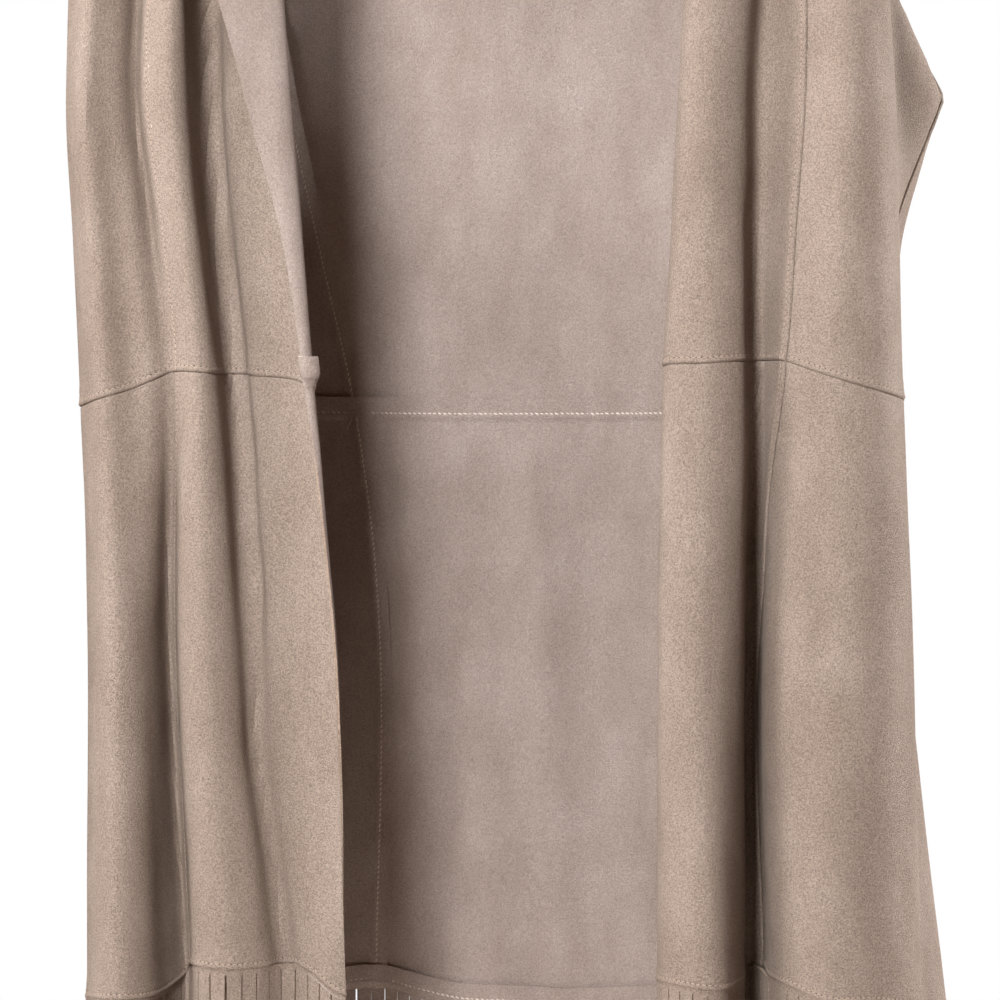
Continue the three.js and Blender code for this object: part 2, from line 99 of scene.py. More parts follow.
LEFT_FRONT = {
    "side":           ( 243,  -20, -752,  237,   10,  235,   12, -401,  260,   17, 1.00),
    "turn":           ( 245,  -38, -748,  240,  -14,  232,  -17, -401,  230,  -19, 0.93),
    "silhouette":     ( 236,  -56, -745,  238,  -44,  234,  -47, -401,  229,  -47, 0.87),
    "roll":           ( 216,  -72, -741,  220,  -71,  223,  -69, -398,  219,  -69, 0.83),
    "side_crest":     ( 191,  -79, -740,  193,  -78,  201,  -78, -392,  202,  -78, 0.79),
    "side_inner":     ( 170,  -66, -733,  169,  -71,  181,  -75, -385,  189,  -73, 0.765),
    "side_edge":      ( 158,  -37, -732,  154,  -41,  173,  -71, -382,  184,  -70, 0.74),
    "princess":       ( 152,   -4, -732,  150,  -18,  168,  -69, -380,  179,  -68, 0.72),
    "valley":         ( 144,    6, -733,  145,  -13,  152,  -45, -379,  153,  -48, 0.66),
    "crest_outer":    ( 143,  -32, -734,  143,  -57,  143,  -73, -380,  143,  -72, 0.56),
    "crest":          ( 127,  -84, -734,  121,  -85,  122,  -85, -382,  127,  -84, 0.38),
    "lip_front":      ( 101,  -69, -732,  100,  -79,  103,  -79, -382,  113,  -81, 0.18),
    "lip_back":       (  95,  -44, -734,   96,  -65,   99,  -67, -383,  108,  -69, 0.09),
    "raw_edge":       (  99,  -20, -738,   99,  -48,  103,  -52, -382,  111,  -55, 0.00),
}
MID_Z = -543
BUST_Z = -222
YOKE_Z = -100
HEM, MID, WAIST, RIBS, BUST, YOKE, SHOULDER = range(7)
print("fold lines:", len(RIGHT_FRONT) + len(BACK) + len(LEFT_FRONT))

# %% [markdown]
# ## Special places
#
# Most lines run evenly from the bust to the shoulder seam. A few don't: the lapel rolls
# outwards on the right front, the left front edge is tucked in, and the armholes are pulled
# forwards and backwards from the side seam.

# %% Yoke, rib and neck places
WALL = 1.5
NECK_HALF = 85
SHOULDER_HALF = 215
SHOULDER_DROP = 40
BACK_NECK_DROP = 24
BACK_NECK_SET = 34
FRONT_DEPTH = 0.78
BACK_DEPTH = 0.88
YOKE_SPREAD = 0.5

RIGHT_FRONT_SPECIAL = {
    "raw_edge": {"ribs": (-114, -108), "yoke": (-158, -122)},
    "lip_front": {"yoke": (-116, -98)},
    "lip_back": {"yoke": (-116, -85)},
    "flat": {"yoke": (-128, -80)},
    "silhouette": {"yoke": (-233, -72)},
    "turn": {"yoke": (-230, -60)},
    "side": {"ribs": (-232, 4), "yoke": (-219, -48), "cornered": True},
}
LEFT_FRONT_SPECIAL = {
    "side": {"ribs": (229, 14), "yoke": (205, -40), "cornered": True},
    "turn": {"yoke": (213, -52)},
    "silhouette": {"yoke": (218, -60)},
    "lip_front": {"yoke": (118, -70)},
    "lip_back": {"yoke": (112, -58)},
    "raw_edge": {"yoke": (118, -44)},
}
NECK_RIGHT = (-0.55 * NECK_HALF, 0.8 * BACK_NECK_SET, -0.75 * BACK_NECK_DROP)
NECK_CENTRE = (0, BACK_NECK_SET, -BACK_NECK_DROP)
NECK_LEFT = (0.55 * NECK_HALF, 0.8 * BACK_NECK_SET, -0.75 * BACK_NECK_DROP)
BACK_SPECIAL = {
    "side": {"ribs": (-232, 4), "yoke": (-213, 52), "cornered": True},
    "side_back": {"ribs": (-238, 27), "yoke": (-212, 61)},
    "turn_back": {"yoke": (-205, 69)},
    "neck_right": {"top": NECK_RIGHT},
    "centre": {"top": NECK_CENTRE},
    "neck_left": {"top": NECK_LEFT},
    "turn_back_left": {"yoke": (200, 71)},
    "side_back_left": {"ribs": (236, 37), "yoke": (206, 64)},
    "side_left": {"ribs": (229, 14), "yoke": (204, 60), "cornered": True},
}

# %% [markdown]
# ## A smooth curve through points
#
# A centripetal spline passes through all its points without loops, even where they stand
# close together, as they do at a tight fold. Numbers count points, so 2.5 is halfway from
# the third point to the fourth.

# %% The spline
def spline(points, numbers):
    points = np.asarray(points, float)
    numbers = np.atleast_1d(np.asarray(numbers, float))
    last = len(points) - 1
    index = np.clip(np.floor(numbers).astype(int), 0, last - 1)
    share = (numbers - index)[:, None]
    p1, p2 = points[index], points[index + 1]
    p0 = np.where((index > 0)[:, None], points[np.maximum(index - 1, 0)], 2 * p1 - p2)
    p3 = np.where((index < last - 1)[:, None], points[np.minimum(index + 2, last)], 2 * p2 - p1)
    gap0, gap1, gap2 = (np.linalg.norm(b - a, axis=1) ** 0.5 for a, b in ((p0, p1), (p1, p2), (p2, p3)))
    gap1 = np.where(gap1 < 1e-4, 1, gap1)
    gap0 = np.where(gap0 < 1e-4, gap1, gap0)[:, None]
    gap2 = np.where(gap2 < 1e-4, gap1, gap2)[:, None]
    gap1 = gap1[:, None]
    slope1 = ((p1 - p0) / gap0 - (p2 - p0) / (gap0 + gap1) + (p2 - p1) / gap1) * gap1
    slope2 = ((p2 - p1) / gap1 - (p3 - p1) / (gap1 + gap2) + (p3 - p2) / gap2) * gap1
    square = -3 * p1 + 3 * p2 - 2 * slope1 - slope2
    cube = 2 * p1 - 2 * p2 + slope1 + slope2
    return p1 + slope1 * share + square * share**2 + cube * share**3


# %% [markdown]
# ## Fold lines and plan curves
#
# A fold line is a spline up through the levels. A plan curve is a spline across all the
# fold lines of one cloth at one height, like a slice through the vest seen from above.
# Together they give the middle of the suede at any fold number and any height.

# %% Fold line
def fold_line(row, side, depth, ribs=None, yoke=None, top=None, cornered=False):
    at = dict(zip(COLUMNS, row))
    if top is None:
        across = NECK_HALF + (SHOULDER_HALF - NECK_HALF) * at["shoulder"]
        end = (side * across, 0, -SHOULDER_DROP * at["shoulder"])
    else:
        end = top
    if ribs is None:
        ribs = ((at["waist_x"] + at["bust_x"]) / 2, (at["waist_y"] + at["bust_y"]) / 2)
    if yoke is None:
        yoke = (at["bust_x"] + (end[0] - at["bust_x"]) * YOKE_SPREAD, at["bust_y"] * depth)
    places = [
        (at["hem_x"], at["hem_y"], at["hem_z"]),
        (at["mid_x"], at["mid_y"], MID_Z),
        (at["waist_x"], at["waist_y"], at["waist_z"]),
        (*ribs, (at["waist_z"] + BUST_Z) / 2),
        (at["bust_x"], at["bust_y"], BUST_Z),
        (*yoke, YOKE_Z),
        end,
    ]
    if top is None:
        places.append((yoke[0], -yoke[1], YOKE_Z))

    def line(heights):
        heights = np.atleast_1d(np.asarray(heights, float))
        if not cornered:
            return spline(places, heights)
        lower = spline(places[: BUST + 1], np.minimum(heights, BUST))
        upper = spline(places[BUST:], np.maximum(heights - BUST, 0))
        return np.where((heights > BUST)[:, None], upper, lower)

    return line


# %% Cloths
class Cloth:
    """A run of fold lines, with the lines of the neighbouring cloth past each side seam."""

    def __init__(self, table, sides, depth, special, corners=()):
        self.names = list(table)
        self.lines = [
            fold_line(table[name], side, depth, **special.get(name, {}))
            for name, side in zip(self.names, sides)
        ]
        self.corners = [self.names.index(name) for name in corners]
        self.before = None
        self.after = None

    def places(self, heights, folds):
        """Middle surface: one row per height, one column per fold number."""
        heights = np.atleast_1d(np.asarray(heights, float))
        folds = np.broadcast_to(folds, (len(heights), np.shape(folds)[-1]))
        rows = np.stack([line(heights) for line in self.lines])
        first = self.before(heights) if self.before else 2 * rows[0] - rows[1]
        final = self.after(heights) if self.after else 2 * rows[-1] - rows[-2]
        rows = np.concatenate([first[None], rows, final[None]])
        found = [spline(rows[:, k], folds[k] + 1) for k in range(len(heights))]
        for k, height in enumerate(heights):
            if self.corners and height > YOKE:
                sharp = self._sharp(rows[1:-1, k], folds[k])
                found[k] = found[k] + (sharp - found[k]) * (height - YOKE)
        return np.stack(found)

    def _sharp(self, points, folds):
        ends = [0, *self.corners, len(points) - 1]
        result = np.zeros((len(folds), 3))
        for start, end in zip(ends, ends[1:]):
            inside = (folds >= start) & (folds <= end)
            if inside.any():
                result[inside] = spline(points[start : end + 1], folds[inside] - start)
        return result


def past_the_seam(edge, beyond):
    step = beyond(BUST) - edge(BUST)

    def line(heights):
        heights = np.atleast_1d(np.asarray(heights, float))
        return np.where((heights > BUST)[:, None], edge(heights) + step, beyond(heights))

    return line


right_front = Cloth(RIGHT_FRONT, [-1] * len(RIGHT_FRONT), FRONT_DEPTH, RIGHT_FRONT_SPECIAL)
left_front = Cloth(LEFT_FRONT, [1] * len(LEFT_FRONT), FRONT_DEPTH, LEFT_FRONT_SPECIAL)
back_sides = [-1 if k <= list(BACK).index("centre") else 1 for k in range(len(BACK))]
back = Cloth(BACK, back_sides, BACK_DEPTH, BACK_SPECIAL, corners=("neck_end", "neck_end_left"))
right_front.after = past_the_seam(right_front.lines[-1], back.lines[1])
back.before = past_the_seam(back.lines[0], right_front.lines[-2])
back.after = past_the_seam(back.lines[-1], left_front.lines[1])
left_front.before = past_the_seam(left_front.lines[0], back.lines[-2])
print("hem width of the back:", round(float(np.ptp(back.places(HEM, np.arange(15.0))[0, :, 0]))), "mm")

# %% [markdown]
# ## Soft bends
#
# Suede can't turn a sharp corner, so each slice is evened out over a few millimetres. The
# ends of a slice stay where they are, since the next panel meets it there, and so does the
# shoulder, where the seam holds the shape.

# %% Soft bends
BEND = 3.5
LEAST_BEND = 0.15
DENSE = 24


def lengths_along(places, axis):
    step = np.linalg.norm(np.diff(places, axis=axis), axis=-1)
    start = np.zeros_like(np.take(step, [0], axis=axis))
    return np.concatenate([start, np.cumsum(step, axis=axis)], axis=axis)


def evened(row, bend):
    """A slice at even steps of 1 mm, averaged over the bend, with its ends held."""
    length = lengths_along(row[None], 1)[0]
    even = np.linspace(0, length[-1], int(length[-1]) + 1)
    points = np.stack([np.interp(even, length, row[:, axis]) for axis in range(3)], axis=1)
    reach = int(3 * bend) + 1
    before = 2 * points[0] - points[reach:0:-1]
    after = 2 * points[-1] - points[-2 : -reach - 2 : -1]
    weight = np.exp(-((np.arange(-reach, reach + 1) / bend) ** 2) / 2)
    weight /= weight.sum()
    padded = np.concatenate([before, points, after])
    smooth = [np.convolve(padded[:, axis], weight, "valid") for axis in range(3)]
    return length, even, np.stack(smooth, axis=1)


def soft_places(cloth, heights, folds):
    heights = np.atleast_1d(np.asarray(heights, float))
    folds = np.broadcast_to(folds, (len(heights), np.shape(folds)[-1]))
    last = len(cloth.names) - 1
    fine = np.linspace(0, last, last * DENSE + 1)
    result = []
    for height, row, wanted in zip(heights, cloth.places(heights, fine), folds):
        bend = BEND * np.clip(SHOULDER - height, LEAST_BEND, 1)
        length, even, smooth = evened(row, bend)
        position = np.interp(wanted, fine, length)
        point = [np.interp(position, even, smooth[:, axis]) for axis in range(3)]
        result.append(np.stack(point, axis=1))
    return np.stack(result)


# %% [markdown]
# ## Laying a grid on the surface
#
# A panel needs many narrow steps beside its seams, where the suede dips, lifts over the
# pressed-up allowance and is pulled in by the stitches, and wide steps in the middle. So
# the steps are measured along the cloth in millimetres and turned back into fold numbers
# and heights. A spare even grid would need ten times as many faces for the same seams.

# %% Grid steps
SEAM_STEPS = np.array([0, 0.25, 0.6, 1.1, 1.7, 2.2, 2.7, 3.2, 4.0, 5.5, 8.0, 10.5, 12.5])
COLUMN_STEP = 2.6
ROW_STEP = 5.0


def steps_between(length, middle):
    """Distances from one edge to the other: seam steps at both, even ones between."""
    inner = np.linspace(SEAM_STEPS[-1], length - SEAM_STEPS[-1], middle + 2)[1:-1]
    return np.concatenate([SEAM_STEPS, inner, length - SEAM_STEPS[::-1]])


def outward(places):
    """Unit normals of a grid whose rows go up and whose columns go along the folds."""
    along = np.gradient(places, axis=1)
    up = np.gradient(places, axis=0)
    normal = np.cross(up, along)
    return normal / np.linalg.norm(normal, axis=-1, keepdims=True)


def panel_grid(cloth, start, end, low, high):
    folds = np.linspace(start, end, (end - start) * DENSE + 1)
    heights = np.linspace(low, high, (high - low) * DENSE + 1)
    rough = soft_places(cloth, heights, folds)
    column_length = lengths_along(rough, 0).mean(axis=1)
    rows = int((column_length[-1] - 2 * SEAM_STEPS[-1]) / ROW_STEP)
    heights = np.interp(steps_between(column_length[-1], rows), column_length, heights)
    rough = soft_places(cloth, heights, folds)
    row_lengths = lengths_along(rough, 1)
    middle = int((row_lengths[:, -1].mean() - 2 * SEAM_STEPS[-1]) / COLUMN_STEP)
    chosen = np.stack([np.interp(steps_between(row[-1], middle), row, folds) for row in row_lengths])
    return soft_places(cloth, heights, chosen), heights, chosen


# %% [markdown]
# ## Relief of a seam
#
# On the side where both allowances are pressed and topstitched, the suede is lifted like a
# welt with a round edge, sinks at the stitches and falls away at the end of the allowance.
# The other side goes in under that edge. Along the seam the thread gathers the suede into
# very small puckers. These are written as simple curves of the distance from the seam,
# because a brush stroke would wander.

# %% Seam relief
STITCH_LINE = 2.7
STITCH_PITCH = 3.2
ALLOWANCE = 12


def fade(values, start, stop):
    share = np.clip((values - start) / (stop - start), 0, 1)
    return share * share * (3 - 2 * share)


def bell(values, middle, width):
    return np.exp(-(((values - middle) / width) ** 2))


def seam_relief(distance, along, kind):
    if kind == "raw":
        return 0 * distance
    pucker = 0.18 * np.sin(along / 1.45 + 2 * np.sin(along / 9.0)) * np.sin(along / 23 + 1)
    if kind == "plain":
        return -0.8 * bell(distance, 0, 1.1) + pucker * bell(distance, 1.5, 3.0)
    welt = 0.7 * (1 - fade(distance, 2.2, 5.5)) + 0.3 * (1 - fade(distance, 8.5, 12.5))
    edge = -0.8 * bell(distance, 0, 0.3)
    sunk = -0.6 * bell(distance, STITCH_LINE, 0.7)
    return welt + edge + sunk + pucker * bell(distance, 1.5, 5.0)


# %% [markdown]
# ## Creases
#
# Between the big folds the suede has a few soft troughs and ridges of its own. Each row of
# the table is one of them: the path it follows on a face of the vest, seen from the front,
# its half width and its height. A negative height is a trough. They are listed one by one,
# and are as uneven as in the real vest. Three deep ones lie in the valleys beside the rolls
# of the fronts. Each fades in and out over its ends.

# %% Crease table
CREASE_FADE = 25

CREASES = [
    # cloth, half width, height, path of (x, z) points in millimetres
    (back, 15, 3.2, [(-11, -440), (-5, -552), (2, -645), (9, -772)]),
    (back, 11, -2.2, [(14, -430), (20, -560), (30, -700), (38, -774)]),
    (back, 20, 2.4, [(62, -425), (52, -560), (60, -720)]),
    (back, 13, -2.0, [(-52, -425), (-46, -520), (-44, -640)]),
    (back, 18, -1.8, [(-60, -120), (-75, -230), (-70, -330)]),
    (back, 22, 1.8, [(40, -90), (30, -220), (36, -380)]),
    (back, 16, -2.2, [(180, -420), (188, -560), (196, -730)]),
    (back, 14, 1.8, [(-150, -430), (-158, -600), (-150, -740)]),
    (back, 5, -1.4, [(29, -392), (30, -404), (32, -420)]),
    (back, 4, -1.2, [(58, -392), (60, -404), (59, -418)]),
    (back, 6, 1.2, [(72, -390), (74, -404), (76, -422)]),
    (right_front, 6.5, -6.5, [(-166, -130), (-156, -291), (-145, -375), (-139, -431), (-134, -515)]),
    (right_front, 5.5, -5.0, [(-133, -500), (-131, -599), (-119, -683), (-112, -745)]),
    (left_front, 5, -4.0, [(150, -290), (152, -431), (151, -515), (150, -599), (152, -683), (152, -770)]),
    (right_front, 6, 1.3, [(-206, -250), (-200, -300), (-196, -345)]),
    (right_front, 9, -1.5, [(-214, -210), (-208, -300), (-204, -380)]),
    (right_front, 10, -1.0, [(-214, -430), (-212, -560), (-211, -700)]),
    (right_front, 9, 1.2, [(-122, -180), (-128, -280), (-122, -370)]),
    (right_front, 11, -1.3, [(-108, -420), (-112, -540), (-104, -660)]),
    (left_front, 10, 1.2, [(206, -190), (200, -300), (196, -370)]),
    (left_front, 12, -1.4, [(178, -400), (186, -470), (190, -560)]),
    (left_front, 14, 1.3, [(206, -420), (204, -560), (200, -700)]),
    (left_front, 9, -0.9, [(118, -300), (116, -420), (112, -560)]),
]


def crease_relief(cloth, places):
    total = np.zeros(places.shape[:2])
    x, z = places[..., 0], places[..., 2]
    for home, width, height, path in CREASES:
        if home is not cloth:
            continue
        xs, zs = np.array(path[::-1], float).T
        middle = np.interp(z, zs, xs)
        reach = min(CREASE_FADE, np.ptp(zs) / 2)
        start = fade(z, zs[0] - reach, zs[0] + reach)
        stop = 1 - fade(z, zs[-1] - reach, zs[-1] + reach)
        total += height * bell(x, middle, width) * start * stop
    return total


def slack(cloth, places):
    """Small uneven waves of soft suede, a few tenths of a millimetre high."""
    x, y, z = (places[..., axis] for axis in range(3))
    turn = {id(back): 0.0, id(right_front): 1.3, id(left_front): 2.1}[id(cloth)]
    wave = np.sin((x + y) / 17 + np.sin(z / 61 + turn) * 2.2 + turn)
    wave = wave * np.sin(z / 83 + np.sin(x / 43) * 1.5 + 2 * turn)
    small = np.sin((x - y) / 7.3 + z / 39 + turn) * np.sin(z / 23 - x / 31)
    return 0.35 * wave + 0.1 * small


# %% [markdown]
# ## Making one piece of cloth
#
# A grid primitive is added with the right number of steps, and its points are laid on the
# worked-out surface. The Solidify modifier then gives it the thickness of the suede, with
# its own finish for the napped outside, the smoother inside and the cut edge.

# %% Cloth piece
SHARPEST_SMOOTH = np.radians(42)


def deselect():
    bpy.ops.object.select_all(action="DESELECT")


def choose_only(piece):
    deselect()
    piece.select_set(True)
    bpy.context.view_layer.objects.active = piece


def placed(name, data):
    """A new object in the scene, made of the given data."""
    made = bpy.data.objects.new(name, data)
    bpy.context.collection.objects.link(made)
    return made


def apply_modifier(piece, kind, **settings):
    modifier = piece.modifiers.new(kind.title(), kind)
    for key, value in settings.items():
        setattr(modifier, key, value)
    bpy.ops.object.modifier_apply(modifier=modifier.name)


def lay_grid(name, places):
    """A grid whose points lie on the given places, with its faces turned outwards."""
    rows, columns = places.shape[:2]
    deselect()
    bpy.ops.mesh.primitive_grid_add(x_subdivisions=columns - 1, y_subdivisions=rows - 1, size=1)
    piece = bpy.context.object
    piece.name = name
    piece.data.vertices.foreach_set("co", np.ascontiguousarray(places * MM, dtype=np.float32).ravel())
    bpy.ops.object.mode_set(mode="EDIT")
    bpy.ops.mesh.select_mode(type="FACE")
    bpy.ops.mesh.select_all(action="SELECT")
    bpy.ops.mesh.flip_normals()
    bpy.ops.mesh.select_all(action="DESELECT")
    bpy.ops.object.mode_set(mode="OBJECT")
    return piece


def thicken(piece, thickness, finishes):
    for finish in finishes:
        piece.data.materials.append(finish)
    apply_modifier(
        piece, "SOLIDIFY", thickness=thickness * MM, offset=0,
        material_offset=1, material_offset_rim=2,
    )
    bpy.ops.object.shade_smooth_by_angle(angle=SHARPEST_SMOOTH)
    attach(piece, "root")
    return piece


# %% [markdown]
# ## Suede
#
# Suede is leather with its fibres brushed up. It has no shine. It has a fine grain of
# fibre ends, soft cloudy patches where the nap lies one way or the other, and a pale bloom
# where it turns away from the eye. Two coarse noises choose the colour, two fine ones make
# it speckled and also raise the bump, and a little sheen makes the bloom. All of it reads
# object coordinates, so the grain has the same size on every piece.

# %% Suede finish
CLOUD_SIZE = 95
BRUSH_SIZE = 22
GRAIN_SIZE = 1.1
FIBRE_SIZE = 0.65
NAP_HEIGHT = 2.0


def suede(name, deep, middle, pale, speck=0.36):
    """A suede finish: its darkest, middle and palest colour, and how strong its specks are."""
    material = bpy.data.materials.new(name)
    material.use_nodes = True
    nodes, links = material.node_tree.nodes, material.node_tree.links
    shader = nodes["Principled BSDF"]
    place = nodes.new("ShaderNodeTexCoord").outputs["Object"]

    def noise(size, detail, rough=0.55, stretch=None):
        start = place
        if stretch:
            mapping = nodes.new("ShaderNodeMapping")
            mapping.inputs["Scale"].default_value = stretch
            links.new(place, mapping.inputs["Vector"])
            start = mapping.outputs["Vector"]
        node = nodes.new("ShaderNodeTexNoise")
        node.inputs["Scale"].default_value = 1 / (size * MM)
        node.inputs["Detail"].default_value = detail
        node.inputs["Roughness"].default_value = rough
        links.new(start, node.inputs["Vector"])
        return node.outputs["Fac"]

    def mixed(low, high, share):
        mix = nodes.new("ShaderNodeMix")
        mix.data_type = "FLOAT"
        mix.inputs["Factor"].default_value = share
        links.new(low, mix.inputs["A"])
        links.new(high, mix.inputs["B"])
        return mix.outputs["Result"]

    clouds = noise(CLOUD_SIZE, 3)
    brushed = noise(BRUSH_SIZE, 4, stretch=(1.0, 1.0, 0.45))
    grain = noise(GRAIN_SIZE, 3, rough=0.75)
    fibres = noise(FIBRE_SIZE, 2, rough=0.8)
    ramp = nodes.new("ShaderNodeValToRGB")
    for position, colour in ((0.38, deep), (0.5, middle), (0.62, pale)):
        stop = ramp.color_ramp.elements.new(position)
        stop.color = (*colour, 1)
    ramp.color_ramp.elements.remove(ramp.color_ramp.elements[0])
    ramp.color_ramp.elements.remove(ramp.color_ramp.elements[-1])
    links.new(mixed(clouds, brushed, 0.5), ramp.inputs["Fac"])
    specks = nodes.new("ShaderNodeMapRange")
    specks.inputs["From Min"].default_value = 0.40
    specks.inputs["From Max"].default_value = 0.60
    specks.inputs["To Min"].default_value = 1 - speck
    specks.inputs["To Max"].default_value = 1 + speck
    links.new(mixed(grain, fibres, 0.5), specks.inputs["Value"])
    speckled = nodes.new("ShaderNodeVectorMath")
    speckled.operation = "SCALE"
    links.new(ramp.outputs["Color"], speckled.inputs[0])
    links.new(specks.outputs["Result"], speckled.inputs["Scale"])
    links.new(speckled.outputs["Vector"], shader.inputs["Base Color"])
    shader.inputs["Roughness"].default_value = 0.95
    shader.inputs["Specular IOR Level"].default_value = 0.15
    shader.inputs["Sheen Weight"].default_value = 0.15
    shader.inputs["Sheen Roughness"].default_value = 0.55
    shader.inputs["Sheen Tint"].default_value = (*pale, 1)
    relief = nodes.new("ShaderNodeBump")
    relief.inputs["Strength"].default_value = 1.0
    relief.inputs["Distance"].default_value = NAP_HEIGHT * MM
    links.new(mixed(grain, fibres, 0.6), relief.inputs["Height"])
    links.new(relief.outputs["Normal"], shader.inputs["Normal"])
    return material


SUEDE_OUTSIDE = suede(
    "suede_outside",
    deep=(0.268, 0.207, 0.169), middle=(0.299, 0.235, 0.194), pale=(0.332, 0.264, 0.222),
)
SUEDE_INSIDE = suede(
    "suede_inside", speck=0.24,
    deep=(0.334, 0.266, 0.233), middle=(0.370, 0.299, 0.266), pale=(0.409, 0.336, 0.303),
)
CUT_EDGE = suede(
    "suede_cut_edge",
    deep=(0.30, 0.22, 0.17), middle=(0.34, 0.255, 0.20), pale=(0.40, 0.31, 0.25),
)
# painted highlight: a much paler suede on the loop's cut edge stands for the light along it
PAINTED_EDGE_HIGHLIGHT = suede(
    "suede_painted_edge_highlight",
    deep=(0.58, 0.49, 0.41), middle=(0.66, 0.57, 0.48), pale=(0.74, 0.66, 0.57),
)
FINISHES = [SUEDE_OUTSIDE, SUEDE_INSIDE, CUT_EDGE]


def thread_and_shade_finish(name, colour):
    material = bpy.data.materials.new(name)
    material.use_nodes = True
    nodes, links = material.node_tree.nodes, material.node_tree.links
    shader = nodes["Principled BSDF"]
    place = nodes.new("ShaderNodeTexCoord").outputs["Object"]
    twist = nodes.new("ShaderNodeTexNoise")
    twist.inputs["Scale"].default_value = 1 / (0.4 * MM)
    links.new(place, twist.inputs["Vector"])
    ramp = nodes.new("ShaderNodeValToRGB")
    ramp.color_ramp.elements[0].color = (*(0.75 * value for value in colour), 1)
    ramp.color_ramp.elements[1].color = (*(min(1, 1.25 * value) for value in colour), 1)
    links.new(twist.outputs["Fac"], ramp.inputs["Fac"])
    links.new(ramp.outputs["Color"], shader.inputs["Base Color"])
    shader.inputs["Roughness"].default_value = 0.7
    return material


THREAD = thread_and_shade_finish("thread", (0.40, 0.30, 0.235))
BOBBIN_THREAD = thread_and_shade_finish("bobbin_thread", (0.66, 0.56, 0.50))
# painted shade: near-black balls put at each needle hole, where the dark is only shade
HOLE_SHADE = thread_and_shade_finish("hole_shade", (0.06, 0.04, 0.028))
print("finishes:", [finish.name for finish in (*FINISHES, THREAD, BOBBIN_THREAD, HOLE_SHADE)])

# %% [markdown]
# ## The panels
#
# A maker cuts these pieces: a centre and a side front and a side back on each side, and
# one centre back, each in an upper and a lower part. The kinds of edge say how each one is
# finished: "sewn" has the pressed and topstitched allowance on this panel, "plain" is the
# other side of such a seam, and "raw" is a cut edge.

# %% Panel table
CUTS = {
    # piece: cloth, first line, last line, edge kinds (first, last)
    "front_centre_{}_right": (right_front, "raw_edge", "princess", "raw", "sewn"),
    "front_side_{}_right": (right_front, "princess", "side", "plain", "plain"),
    "back_side_{}_right": (back, "side", "princess", "sewn", "plain"),
    "back_centre_{}": (back, "princess", "princess_left", "sewn", "sewn"),
    "back_side_{}_left": (back, "princess_left", "side_left", "plain", "sewn"),
    "front_side_{}_left": (left_front, "side", "princess", "plain", "plain"),
    "front_centre_{}_left": (left_front, "princess", "raw_edge", "sewn", "raw"),
}


class Panel:
    """A panel's finished middle surface, with each point's distance from its four edges."""

    def __init__(self, cloth, first, last, first_kind, last_kind, upper):
        low, high = (WAIST, SHOULDER) if upper else (HEM, WAIST)
        self.cloth = cloth
        self.kinds = {"first": first_kind, "last": last_kind, "bottom": "sewn", "top": "plain"}
        span = (cloth.names.index(first), cloth.names.index(last))
        base, self.heights, self.folds = panel_grid(cloth, *span, low, high)
        across = lengths_along(base, 1)
        rising = lengths_along(base, 0)
        self.distance = {
            "first": across,
            "last": across[:, -1:] - across,
            "bottom": rising,
            "top": rising[-1:] - rising,
        }
        self.size = (float(across[:, -1].max()), float(rising[-1].max()))
        relief = crease_relief(cloth, base) + slack(cloth, base)
        for edge, kind in self.kinds.items():
            along = rising if edge in ("first", "last") else across
            relief = relief + seam_relief(self.distance[edge], along, kind)
        self.places = base + outward(base) * relief[..., None]
        self.normals = outward(self.places)
        sides = np.cross(base[1:, :-1] - base[:-1, :-1], base[:-1, 1:] - base[:-1, :-1])
        self.area = float(np.linalg.norm(sides, axis=-1).sum())

    def line_at(self, edge, distance):
        """Points and normals of a line that keeps one distance from an edge."""
        places, normals, away = self.places, self.normals, self.distance[edge]
        if edge in ("first", "last"):
            places, normals, away = (array.swapaxes(0, 1) for array in (places, normals, away))
        if edge in ("last", "top"):
            places, normals, away = places[::-1], normals[::-1], away[::-1]
        index = np.clip((away <= distance).sum(axis=0) - 1, 0, len(away) - 2)
        column = np.arange(away.shape[1])
        low, high = away[index, column], away[index + 1, column]
        share = ((distance - low) / (high - low))[:, None]
        point = places[index, column] * (1 - share) + places[index + 1, column] * share
        normal = normals[index, column] * (1 - share) + normals[index + 1, column] * share
        return point, normal


panels = {}
for title, (cloth, first, last, first_kind, last_kind) in CUTS.items():
    for part in ("upper", "lower"):
        panels[title.format(part)] = Panel(cloth, first, last, first_kind, last_kind, part == "upper")
print("points in the panels:", sum(panel.places[..., 0].size for panel in panels.values()))

# %% Panel pieces
for name, panel in panels.items():
    piece = thicken(lay_grid(f"suede_{name}", panel.places), WALL, FINISHES)
    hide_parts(name)
    print(name, "cut", [round(size) for size in panel.size], "mm, area", round(panel.area / 100), "cm2")

# %% [markdown]
# ## Seam allowances
#
# Nothing lines the vest, so the allowances show inside: a strip pressed upwards at the
# waist and at the hem, and narrower ones along the upright seams. The layer nearest to the
# wearer comes from the panel across the seam and runs on without a step, so a strip starts
# a little beyond the seam, hidden in that panel's wall. At the side seams and in the tight
# folds of the fronts it starts at the seam. Its free edge stands off a little and waves.

# %% Allowance strips
UPRIGHT_ALLOWANCE = 9
STRIP_THICKNESS = 1.2
STRIP_FINISHES = [SUEDE_INSIDE, SUEDE_INSIDE, CUT_EDGE]
BEYOND = 3.5
STRIP_STEPS = (-BEYOND, -2, -1, 0, 1, 2, STITCH_LINE, 3.5, 5, 7, 9, 10.5, ALLOWANCE)


def strip_depth(distance, width, run):
    """Depth of the strip's middle below the middle of the panel."""
    flush = (WALL - STRIP_THICKNESS) / 2 - 0.12
    lying = (WALL + STRIP_THICKNESS) / 2 + 0.1
    depth = flush + (lying - flush) * fade(distance, -BEYOND, 2.0)
    depth -= 0.35 * bell(distance, STITCH_LINE, 1.0)
    free = fade(distance, 0.35 * width, width)
    wave = 0.5 + 0.3 * np.sin(run / 11) + 0.3 * np.sin(run / 4.7 + 1)
    return depth + free * wave


